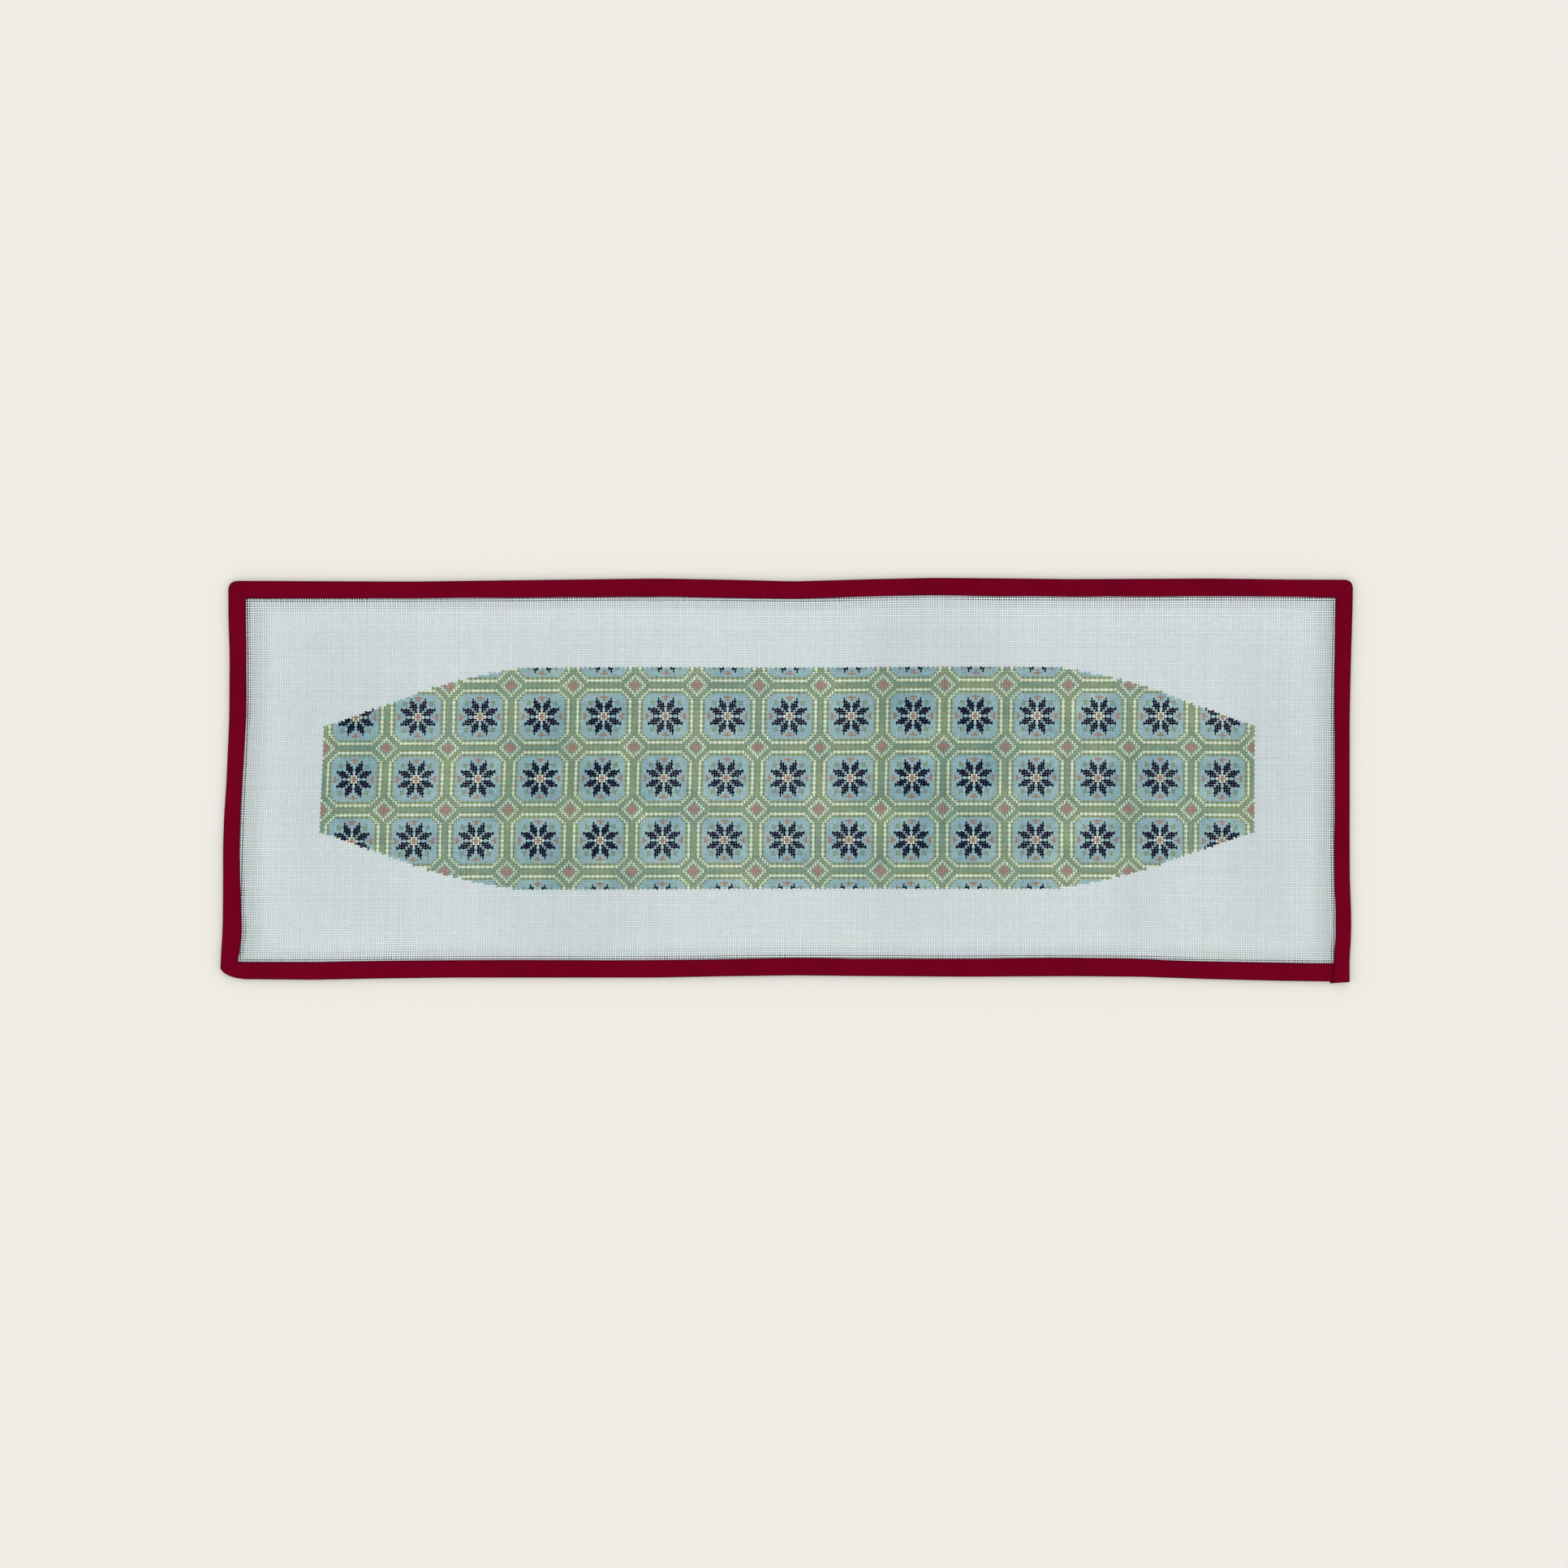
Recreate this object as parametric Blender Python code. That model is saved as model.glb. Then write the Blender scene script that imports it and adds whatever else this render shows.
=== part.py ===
"""Needlepoint canvas panel: a painted mono canvas with a folded bias tape round its edge.

The panel lies flat and face up: +X along its length, +Y up the picture, +Z up.
The origin is under the middle of the panel. Tables are in millimetres, the model is in metres.
"""
from collections import namedtuple

import bmesh
import bpy
import numpy as np

MM = 0.001

# Driving dimensions, in millimetres
PANEL_LEFT = -331.0
PANEL_RIGHT = 333.3
PANEL_TOP = 118.6
PANEL_BOTTOM = -116.6
CANVAS_THICKNESS = 1.0
TAPE_THICKNESS = 1.0
PIECE_GAP = 0.3
GROOVE_START = 2.0
CANVAS_EDGE_CLEARANCE = 1.0
CANVAS_CORNER_TRIM = 2.8
TAPE_WIDTH = 10.3
LIP_ROUND = 0.4
INNER_CORNER_REACH = 0.8
MIDDLE_COLUMNS = 30
MIDDLE_ROWS = 11
GRID_LINES_AT_CORNER = 2
SHARP_ANGLE = 0.7
FOLD_TURNS = (-90, -45, 0, 45, 90)

BINDING_HEIGHT = 2 * TAPE_THICKNESS + 2 * PIECE_GAP + CANVAS_THICKNESS
EDGE_RISE = TAPE_THICKNESS + PIECE_GAP

# One row for each place along a side: where it is, how far the outer edge bulges, how wide the tape is
Side = namedtuple("Side", "along bulge width")
TOP_SIDE = [
    Side(-321, -0.7, 10.5), Side(-220, -1.1, 9.9), Side(-158, -0.3, 10.4), Side(-76, 0.7, 10.8),
    Side(-35, 0.0, 10.8), Side(5, -1.0, 10.5), Side(46, 0.2, 10.3), Side(87, 1.1, 10.3),
    Side(128, 0.8, 10.8), Side(168, 0.3, 10.4), Side(250, 0.7, 10.7), Side(300, 0.1, 10.3),
    Side(327, 0.0, 10.8),
]
BOTTOM_SIDE = [
    Side(-321, 0.9, 10.3), Side(-280, 1.3, 10.4), Side(-239, 0.5, 10.5), Side(-198, 0.0, 10.5),
    Side(-76, 0.0, 10.4), Side(-35, -0.8, 10.2), Side(5, -1.3, 10.4), Side(46, -0.9, 10.4),
    Side(107, -0.5, 10.6), Side(168, -0.8, 11.0), Side(209, -0.5, 10.6), Side(250, 0.9, 10.5),
    Side(291, 1.9, 10.7), Side(321, 2.3, 10.7),
]
LEFT_SIDE = [
    Side(-112, 3.6, 10.4), Side(-100, 3.1, 11.0), Side(-90, 2.3, 12.0), Side(-78, 2.1, 11.0),
    Side(-59, 2.0, 10.3), Side(-40, 2.0, 9.8), Side(-21, 1.4, 9.7), Side(-2, 0.0, 9.4),
    Side(17, -0.8, 9.9), Side(37, -1.7, 10.3), Side(75, -1.9, 10.2), Side(94, -1.2, 10.5),
    Side(109, -1.1, 10.6),
]
RIGHT_SIDE = [
    Side(-117, -0.4, 9.6), Side(-110, -0.7, 9.6), Side(-91, 0.5, 9.3), Side(-78, 0.5, 9.4),
    Side(-59, -0.3, 9.3), Side(-40, -0.4, 9.2), Side(37, -0.4, 9.2), Side(56, 0.0, 9.6),
    Side(75, 0.5, 9.8), Side(87, 0.9, 10.0), Side(109, 1.5, 10.4),
]

# How far each mitred corner is rounded along its two sides, and how blunt it is, up to 1 for a straight cut
Corner = namedtuple("Corner", "reach_x reach_y blunt")
TOP_LEFT = Corner(6.5, 6.0, 0.2)
TOP_RIGHT = Corner(5.5, 6.0, 0.2)
BOTTOM_LEFT = Corner(14.0, 5.3, 0.45)
CORNER_STEPS = 4

# The end of the tape is lapped over its start at the lower right corner, a little longer and thicker there
LAP_DROP_AT_FOLD = 0.8
LAP_DROP_AT_EDGE = 0.2
LAP_RISE = 0.5
LAP_END_WALL = 2.0
LAP_END_GROOVE = 0.3
LAP_GROOVE_CLOSING = 0.25

# Low swells of the canvas between the places where it touches the table
Swell = namedtuple("Swell", "x y half_width half_length rise")
SWELLS = [
    Swell(-262, 10, 52, 120, 0.6), Swell(-128, -20, 66, 130, 0.7), Swell(84, 15, 62, 130, 0.8),
    Swell(206, -30, 24, 90, 0.4), Swell(283, -10, 32, 110, 0.6),
]

# Distances from the tape's inner edge at which the canvas has a grid line as it comes down to the table
SIDE_DESCENT = [0.8, 4.0, 7.5, 11.0, 15.0]
END_DESCENT = [0.8, 3.0, 5.5, 8.0]

TAPE_COLOUR = (0.160, 0.001, 0.016, 1.0)
TAPE_ROUGHNESS = 0.8
CANVAS_COLOUR = (0.585, 0.665, 0.680, 1.0)
CANVAS_ROUGHNESS = 0.85


def remove_everything():
    for item in list(bpy.data.objects):
        bpy.data.objects.remove(item, do_unlink=True)


def column(side, name, along):
    """One column of a side's table, read at the given places with straight lines between the rows."""
    places = [row.along for row in side]
    values = [getattr(row, name) for row in side]
    return np.interp(along, places, values)


def outer_y(side, x):
    bulge = column(side, "bulge", x)
    return PANEL_TOP + bulge if side is TOP_SIDE else PANEL_BOTTOM - bulge


def outer_x(side, y):
    bulge = column(side, "bulge", y)
    return PANEL_RIGHT + bulge if side is RIGHT_SIDE else PANEL_LEFT - bulge


def inner_y(side, x):
    width = column(side, "width", x)
    return outer_y(side, x) + (width if side is BOTTOM_SIDE else -width)


def inner_x(side, y):
    width = column(side, "width", y)
    return outer_x(side, y) + (width if side is LEFT_SIDE else -width)


def grid_lines(low_outer, low_inner, high_inner, high_outer, descent, middle_count):
    """Places of the canvas's grid lines from one side to the other, on the last axis.

    They are its hidden edge, the descent from the tape, even lines over the middle, and the same back.
    """
    hidden = GROOVE_START + CANVAS_EDGE_CLEARANCE
    low = [low_outer + hidden] + [low_inner + step for step in descent]
    high = [high_inner - step for step in reversed(descent)] + [high_outer - hidden]
    shares = np.arange(1, middle_count + 1) / (middle_count + 1)
    middle = [low[-1] + (high[0] - low[-1]) * share for share in shares]
    return np.stack(low + middle + high, axis=-1)


def column_places(y):
    """X of the canvas's columns at a height on the panel."""
    return grid_lines(
        outer_x(LEFT_SIDE, y), inner_x(LEFT_SIDE, y), inner_x(RIGHT_SIDE, y), outer_x(RIGHT_SIDE, y),
        SIDE_DESCENT, MIDDLE_COLUMNS)


def row_places(x):
    """Y of the canvas's rows at a place along the panel."""
    return grid_lines(
        outer_y(BOTTOM_SIDE, x), inner_y(BOTTOM_SIDE, x), inner_y(TOP_SIDE, x), outer_y(TOP_SIDE, x),
        END_DESCENT, MIDDLE_ROWS)


def smooth_step(amount):
    amount = np.clip(amount, 0.0, 1.0)
    return amount * amount * (3 - 2 * amount)


def swell_height(x, y):
    """Height of the canvas's low swells: each is a raised cosine across and along."""
    height = np.zeros_like(x)
    for swell in SWELLS:
        across = np.clip(np.abs(x - swell.x) / swell.half_width, 0, 1)
        along = np.clip(np.abs(y - swell.y) / swell.half_length, 0, 1)
        height += swell.rise * np.cos(across * np.pi / 2) ** 2 * np.cos(along * np.pi / 2) ** 2
    return height


def lying_height(x, y):
    """Height of the canvas's underside: on the table, on its swells, or held up inside the tape."""
    side_reach = SIDE_DESCENT[-1] - SIDE_DESCENT[0]
    end_reach = END_DESCENT[-1] - END_DESCENT[0]
    clear_of_tape = (
        smooth_step((x - inner_x(LEFT_SIDE, y) - SIDE_DESCENT[0]) / side_reach)
        * smooth_step((inner_x(RIGHT_SIDE, y) - x - SIDE_DESCENT[0]) / side_reach)
        * smooth_step((y - inner_y(BOTTOM_SIDE, x) - END_DESCENT[0]) / end_reach)
        * smooth_step((inner_y(TOP_SIDE, x) - y - END_DESCENT[0]) / end_reach))
    return EDGE_RISE * (1 - clear_of_tape) + swell_height(x, y) * clear_of_tape


def corner_curve(corner, reach_x, reach_y, blunt, steps):
    """A rounded corner in plan, from its vertical side to its horizontal one: a quadratic curve.

    The reaches are signed and point from the corner into the panel; bluntness moves the curve's
    middle point from the corner towards the chord.
    """
    start = np.array([corner[0], corner[1] + reach_y])
    end = np.array([corner[0] + reach_x, corner[1]])
    handle = (1 - blunt) * np.array(corner) + blunt * (start + end) / 2
    along = np.linspace(0, 1, steps + 1)[:, None]
    return (1 - along) ** 2 * start + 2 * along * (1 - along) * handle + along ** 2 * end


def corner_stations(side, end_side, shape):
    """Outer and inner edge of the tape round a mitred corner, from the vertical side to the other."""
    x_sign = 1 if side is LEFT_SIDE else -1
    y_sign = 1 if end_side is BOTTOM_SIDE else -1
    corner_x = column_places(0)[0 if side is LEFT_SIDE else -1]
    corner_y = row_places(0)[0 if end_side is BOTTOM_SIDE else -1]
    outer_corner = (outer_x(side, corner_y), outer_y(end_side, corner_x))
    inner_corner = (inner_x(side, corner_y), inner_y(end_side, corner_x))
    outer = corner_curve(
        outer_corner, x_sign * shape.reach_x, y_sign * shape.reach_y, shape.blunt, CORNER_STEPS)
    inner = corner_curve(
        inner_corner, x_sign * INNER_CORNER_REACH, y_sign * INNER_CORNER_REACH, 0, CORNER_STEPS)
    return outer, inner


def binding_section(rise, groove_start):
    """The tape's U section: shares of its width inwards, and heights, round from the lower leg's lip."""
    fold = BINDING_HEIGHT / 2
    turns = np.radians(FOLD_TURNS)
    inwards = np.concatenate([
        [TAPE_WIDTH], fold * (1 - np.cos(turns)), [TAPE_WIDTH - LIP_ROUND, TAPE_WIDTH, TAPE_WIDTH],
        [groove_start + LIP_ROUND, groove_start, groove_start + LIP_ROUND, TAPE_WIDTH]])
    heights = np.concatenate([
        [0], fold * (1 + np.sin(turns)), [BINDING_HEIGHT, BINDING_HEIGHT - LIP_ROUND],
        [BINDING_HEIGHT - TAPE_THICKNESS] * 2, [fold], [TAPE_THICKNESS] * 2])
    heights = np.where(heights > BINDING_HEIGHT - TAPE_THICKNESS, heights + rise, heights)
    return inwards / TAPE_WIDTH, heights


def binding_stations():
    """Outer edge, inner edge, rise and groove start of the tape at each station, in sewing order.

    The tape starts at the lower right corner, runs left, up, right across the top and down again, and
    its folded end closes the corner.
    """
    xs = column_places(0)
    ys = row_places(0)
    between_corners = slice(GRID_LINES_AT_CORNER, -GRID_LINES_AT_CORNER)
    stations = []

    def add(outer, inner, rise=0.0, groove_start=GROOVE_START):
        stations.append((np.array(outer), np.array(inner), rise, groove_start))

    start_x = inner_x(RIGHT_SIDE, ys[0]) - PIECE_GAP
    add((start_x, outer_y(BOTTOM_SIDE, start_x)), (start_x, inner_y(BOTTOM_SIDE, start_x)))
    for place, x in zip(column_places(ys[0])[between_corners][::-1], xs[between_corners][::-1]):
        add((place, outer_y(BOTTOM_SIDE, x)), (place, inner_y(BOTTOM_SIDE, x)))
    outer, inner = corner_stations(LEFT_SIDE, BOTTOM_SIDE, BOTTOM_LEFT)
    for station in zip(outer[::-1], inner[::-1]):
        add(*station)
    for place, y in zip(row_places(xs[0])[between_corners], ys[between_corners]):
        add((outer_x(LEFT_SIDE, y), place), (inner_x(LEFT_SIDE, y), place))
    outer, inner = corner_stations(LEFT_SIDE, TOP_SIDE, TOP_LEFT)
    for station in zip(outer, inner):
        add(*station)
    for place, x in zip(column_places(ys[-1])[between_corners], xs[between_corners]):
        add((place, outer_y(TOP_SIDE, x)), (place, inner_y(TOP_SIDE, x)))
    outer, inner = corner_stations(RIGHT_SIDE, TOP_SIDE, TOP_RIGHT)
    for station in zip(outer[::-1], inner[::-1]):
        add(*station)
    for place, y in zip(row_places(xs[-1])[between_corners][::-1], ys[between_corners][::-1]):
        add((outer_x(RIGHT_SIDE, y), place), (inner_x(RIGHT_SIDE, y), place))

    lap_top = inner_y(BOTTOM_SIDE, xs[-1])
    end_at_edge = outer_y(BOTTOM_SIDE, xs[-1]) - LAP_DROP_AT_EDGE
    end_at_fold = outer_y(BOTTOM_SIDE, xs[-1]) - LAP_DROP_AT_FOLD
    groove_end = outer_y(BOTTOM_SIDE, xs[-1]) + LAP_END_WALL
    add((outer_x(RIGHT_SIDE, lap_top), lap_top), (inner_x(RIGHT_SIDE, lap_top), lap_top), LAP_RISE)
    edge_x = outer_x(RIGHT_SIDE, groove_end)
    fold_x = inner_x(RIGHT_SIDE, groove_end)
    add((edge_x, groove_end), (fold_x, groove_end), LAP_RISE)
    closed = TAPE_WIDTH - LAP_END_GROOVE - LIP_ROUND
    wall_y = groove_end - LAP_GROOVE_CLOSING
    add((edge_x, wall_y), (fold_x, wall_y), LAP_RISE, closed)
    add((edge_x, end_at_edge), (fold_x, end_at_fold), LAP_RISE, closed)
    return stations


def binding_arrays():
    """Corner points of the tape's solid, a ring of the section at each station, and its faces."""
    rings = []
    for outer, inner, rise, groove_start in binding_stations():
        inwards, heights = binding_section(rise, groove_start)
        plan = outer + (inner - outer) * inwards[:, None]
        rings.append(np.column_stack([plan, heights]))
    ring_size = len(rings[0])
    points = np.concatenate(rings)
    station, corner = np.meshgrid(np.arange(len(rings) - 1), np.arange(ring_size), indexing="ij")
    here = station * ring_size + corner
    along = station * ring_size + (corner + 1) % ring_size
    walls = np.stack([here, along, along + ring_size, here + ring_size], -1).reshape(-1, 4)
    first = list(range(ring_size))
    last = [len(points) - ring_size + index for index in first]
    return points, walls.tolist() + [first[::-1], last]


def canvas_arrays():
    """Corner points of the canvas's solid, its underside and its top side a thickness above, and faces."""
    ys = row_places(0)
    xs = column_places(0)
    x = column_places(ys)
    y = row_places(xs).T
    rows, columns = x.shape
    for row in (0, -1):
        for side in (0, -1):
            x[row, side] += CANVAS_CORNER_TRIM * (1 if side == 0 else -1)
            y[row, side] += CANVAS_CORNER_TRIM * (1 if row == 0 else -1)
    under = lying_height(x, y)
    points = np.concatenate([
        np.stack([x, y, under], -1).reshape(-1, 3),
        np.stack([x, y, under + CANVAS_THICKNESS], -1).reshape(-1, 3)])
    index = np.arange(rows * columns).reshape(rows, columns)
    cells = np.stack([index[:-1, :-1], index[:-1, 1:], index[1:, 1:], index[1:, :-1]], -1).reshape(-1, 4)
    rim = np.concatenate([index[0, :-1], index[:-1, -1], index[-1, :0:-1], index[:0:-1, 0]])
    next_rim = np.roll(rim, -1)
    top = rows * columns
    sides = np.stack([rim, next_rim, next_rim + top, rim + top], -1)
    return points, cells[:, ::-1].tolist() + (cells + top).tolist() + sides.tolist()


def plain_material(name, colour, roughness):
    material = bpy.data.materials.new(name)
    material.use_nodes = True
    shader = material.node_tree.nodes["Principled BSDF"]
    shader.inputs["Base Color"].default_value = colour
    shader.inputs["Roughness"].default_value = roughness
    shader.inputs["Metallic"].default_value = 0.0
    material.diffuse_color = colour
    return material


def add_piece(name, points, faces, material, frame, shift):
    """A solid from points in millimetres, with its faces turned outwards, under the panel's frame."""
    mesh = bpy.data.meshes.new(name)
    mesh.from_pydata(((points - shift) * MM).tolist(), [], faces)
    work = bmesh.new()
    work.from_mesh(mesh)
    bmesh.ops.recalc_face_normals(work, faces=work.faces)
    bmesh.ops.triangulate(work, faces=work.faces)
    work.to_mesh(mesh)
    work.free()
    mesh.shade_smooth()
    mesh.set_sharp_from_angle(angle=SHARP_ANGLE)
    mesh.materials.append(material)
    piece = bpy.data.objects.new(name, mesh)
    piece.parent = frame
    bpy.context.scene.collection.objects.link(piece)
    return piece


def build_panel():
    remove_everything()
    frame = bpy.data.objects.new("panel_frame", None)
    bpy.context.scene.collection.objects.link(frame)
    binding_points, binding_faces = binding_arrays()
    canvas_points, canvas_faces = canvas_arrays()
    shift = (binding_points.min(axis=0) + binding_points.max(axis=0)) / 2
    shift[2] = 0.0
    cloth = plain_material("painted_canvas", CANVAS_COLOUR, CANVAS_ROUGHNESS)
    tape = plain_material("cotton_tape", TAPE_COLOUR, TAPE_ROUGHNESS)
    add_piece("canvas", canvas_points, canvas_faces, cloth, frame, shift)
    add_piece("binding", binding_points, binding_faces, tape, frame, shift)


build_panel()
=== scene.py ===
from collections import namedtuple

import bpy
import numpy as np
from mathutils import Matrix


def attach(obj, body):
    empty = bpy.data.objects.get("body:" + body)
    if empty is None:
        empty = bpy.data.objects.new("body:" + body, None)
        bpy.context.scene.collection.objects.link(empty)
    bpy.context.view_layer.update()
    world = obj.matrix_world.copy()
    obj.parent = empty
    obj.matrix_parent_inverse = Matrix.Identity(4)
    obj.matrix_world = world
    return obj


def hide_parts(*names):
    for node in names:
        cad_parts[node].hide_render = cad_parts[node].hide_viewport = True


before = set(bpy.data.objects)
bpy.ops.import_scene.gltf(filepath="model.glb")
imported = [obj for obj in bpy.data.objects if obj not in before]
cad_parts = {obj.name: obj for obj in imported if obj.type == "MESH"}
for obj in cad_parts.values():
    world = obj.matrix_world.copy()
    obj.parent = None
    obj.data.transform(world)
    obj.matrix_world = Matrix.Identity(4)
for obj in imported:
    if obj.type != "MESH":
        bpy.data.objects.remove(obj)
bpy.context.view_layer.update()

# The canvas: stiff mono needlepoint canvas, woven over and under from cotton threads, 18 to the inch
# each way, sized white, then painted by hand with one dab of colour on each crossing of the threads.
# It is cut along its threads, lies on the table, and its raw edges are held up inside the tape's fold.
# Sizes are in millimetres, and CENTRING brings the panel's middle to the origin.
MM = 0.001
CENTRING = np.array([0.1, 0.0, 0.0])
INCH = 25.4
THREADS_TO_THE_INCH = 18
PITCH = INCH / THREADS_TO_THE_INCH
WARPS = 463
WEFTS = 159
FIRST_WARP_X = -324.8
FIRST_WEFT_Y = -110.4
THREAD_THICKNESS = 0.48
CRIMP = 0.18
CANVAS_LIFT = 0.43
END_SLANT = 0.3

# A thread's width, and how deep the painted shade beside it is, a darkening painted into the threads' colour
# where they close in: by the tape, where the canvas stands loose, and farther in, where it is pressed flat.
# Both change once more in the last few millimetres beside the tape.
# Upright and level say which sides of the panel a distance is counted from.
WIDTH_AT_TAPE = 0.74
WIDTH_PRESSED_FLAT = 0.92
PRESSED_FROM_UPRIGHT = 34.0
PRESSED_FROM_LEVEL = 24.0
PAINTED_SHADE_AT_TAPE = 1.0
PAINTED_SHADE_PRESSED = 0.88
PAINTED_SHADE_BESIDE_TAPE = 0.38
NARROWER_BESIDE_TAPE = 0.07
BESIDE_UPRIGHT_TAPE = 4.5
BESIDE_LEVEL_TAPE = 2.0
LEVEL_TAPE_SHARE = 0.6
# Painted light: how much lighter the threads' colour is made towards the tape.
PAINTED_LIGHT_AT_TAPE = 0.20

# How uneven the threads are: in width from one to the next, in slubs along each, in spacing, in how far they
# wander, and in tone. A grain is the reach of one random value, in threads each way.
THREAD_UNEVENNESS = 0.035
SLUB_UNEVENNESS = 0.07
SLUB_GRAIN = (1, 4)
SPACING_UNEVENNESS = 0.035
WANDER = 0.07
WARP_WANDER_GRAIN = (5, 30)
WEFT_WANDER_GRAIN = (30, 5)
TONE_UNEVENNESS = 0.02
WEFT_FOLLOWS_EDGE = 0.6

# The four sides of the bound panel: a place along it, how far the edge bulges out, how wide the tape is.
# The tape follows these closely, and the weave inside it more loosely.
PANEL_LEFT = -331.0
PANEL_RIGHT = 333.3
PANEL_TOP = 118.6
PANEL_BOTTOM = -116.6
Side = namedtuple("Side", "along bulge width")
TOP_SIDE = [
    Side(-321, -0.7, 10.5), Side(-220, -1.1, 9.9), Side(-158, -0.3, 10.4), Side(-76, 0.7, 10.8),
    Side(-35, 0.0, 10.8), Side(5, -1.0, 10.5), Side(46, 0.2, 10.3), Side(87, 1.1, 10.3),
    Side(128, 0.8, 10.8), Side(168, 0.3, 10.4), Side(250, 0.7, 10.7), Side(300, 0.1, 10.3),
    Side(327, 0.0, 10.8),
]
BOTTOM_SIDE = [
    Side(-321, 0.9, 10.3), Side(-280, 1.3, 10.4), Side(-239, 0.5, 10.5), Side(-198, 0.0, 10.5),
    Side(-76, 0.0, 10.4), Side(-35, -0.8, 10.2), Side(5, -1.3, 10.4), Side(46, -0.9, 10.4),
    Side(107, -0.5, 10.6), Side(168, -0.8, 11.0), Side(209, -0.5, 10.6), Side(250, 0.9, 10.5),
    Side(291, 1.9, 10.7), Side(321, 2.3, 10.7),
]
LEFT_SIDE = [
    Side(-112, 3.6, 10.4), Side(-100, 3.1, 11.0), Side(-90, 2.3, 12.0), Side(-78, 2.1, 11.0),
    Side(-59, 2.0, 10.3), Side(-40, 2.0, 9.8), Side(-21, 1.4, 9.7), Side(-2, 0.0, 9.4),
    Side(17, -0.8, 9.9), Side(37, -1.7, 10.3), Side(75, -1.9, 10.2), Side(94, -1.2, 10.5),
    Side(109, -1.1, 10.6),
]
RIGHT_SIDE = [
    Side(-117, -0.4, 9.6), Side(-110, -0.7, 9.6), Side(-91, 0.5, 9.3), Side(-78, 0.5, 9.4),
    Side(-59, -0.3, 9.3), Side(-40, -0.4, 9.2), Side(37, -0.4, 9.2), Side(56, 0.0, 9.6),
    Side(75, 0.5, 9.8), Side(87, 0.9, 10.0), Side(109, 1.5, 10.4),
]
TAPE_EASE = 2.5
WEAVE_EASE = 14.0

# Where the canvas comes down from the tape to the table, and its low swells between the places it touches
EDGE_RISE = 1.3
DESCENT_START = 0.8
UPRIGHT_DESCENT = 14.2
LEVEL_DESCENT = 7.2
Swell = namedtuple("Swell", "x y half_width half_length rise")
SWELLS = [
    Swell(-262, 10, 52, 120, 0.6), Swell(-128, -20, 66, 130, 0.7), Swell(84, 15, 62, 130, 0.8),
    Swell(206, -30, 24, 90, 0.4), Swell(283, -10, 32, 110, 0.6),
]


def read_side(side, name, along, ease):
    """One column of a side's table, eased: the mean of five straight-line readings, ease apart."""
    places = [row.along for row in side]
    values = [getattr(row, name) for row in side]
    steps = (-2, -1, 0, 1, 2)
    return sum(np.interp(along + step * ease, places, values) for step in steps) / len(steps)


def outer_edge(side, along, ease=TAPE_EASE):
    """Place of a side's outer edge: the panel's straight edge, plus its bulge."""
    bulge = read_side(side, "bulge", along, ease)
    if side is TOP_SIDE:
        return PANEL_TOP + bulge
    if side is RIGHT_SIDE:
        return PANEL_RIGHT + bulge
    return (PANEL_LEFT if side is LEFT_SIDE else PANEL_BOTTOM) - bulge


def inner_edge(side, along, ease=TAPE_EASE):
    """Place of the tape's lip: its outer edge, moved in by the tape's width."""
    width = read_side(side, "width", along, ease)
    return outer_edge(side, along, ease) + (width if side in (LEFT_SIDE, BOTTOM_SIDE) else -width)


def smooth_step(amount):
    """Eases from 0 to 1: three squares less two cubes of the amount, held between the two."""
    amount = np.clip(amount, 0.0, 1.0)
    return amount * amount * (3 - 2 * amount)


def lying_height(x, y):
    """Height of the canvas's underside: 0 on the table, a raised cosine on each swell, and the height
    of the tape's fold near the sides, eased down over the descent."""
    clear_of_tape = (
        smooth_step((x - inner_edge(LEFT_SIDE, y) - DESCENT_START) / UPRIGHT_DESCENT)
        * smooth_step((inner_edge(RIGHT_SIDE, y) - x - DESCENT_START) / UPRIGHT_DESCENT)
        * smooth_step((y - inner_edge(BOTTOM_SIDE, x) - DESCENT_START) / LEVEL_DESCENT)
        * smooth_step((inner_edge(TOP_SIDE, x) - y - DESCENT_START) / LEVEL_DESCENT))
    swells = np.zeros_like(x)
    for swell in SWELLS:
        across = np.clip(np.abs(x - swell.x) / swell.half_width, 0, 1)
        along = np.clip(np.abs(y - swell.y) / swell.half_length, 0, 1)
        swells += swell.rise * np.cos(across * np.pi / 2) ** 2 * np.cos(along * np.pi / 2) ** 2
    return EDGE_RISE * (1 - clear_of_tape) + swells * clear_of_tape


def soft_noise(rng, shape, grain):
    """Seeded noise on a grid, from -1 to 1: random values every grain steps, eased in between."""
    rows = int(shape[0] / grain[0]) + 3
    columns = int(shape[1] / grain[1]) + 3
    coarse = rng.uniform(-1, 1, (rows, columns))
    row = np.arange(shape[0]) / grain[0]
    column = np.arange(shape[1]) / grain[1]
    low_row = row.astype(int)
    low_column = column.astype(int)
    up = smooth_step(row - low_row)[:, None]
    right = smooth_step(column - low_column)[None, :]
    near = coarse[low_row][:, low_column] * (1 - right) + coarse[low_row][:, low_column + 1] * right
    far = coarse[low_row + 1][:, low_column] * (1 - right) + coarse[low_row + 1][:, low_column + 1] * right
    return near * (1 - up) + far * up


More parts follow.
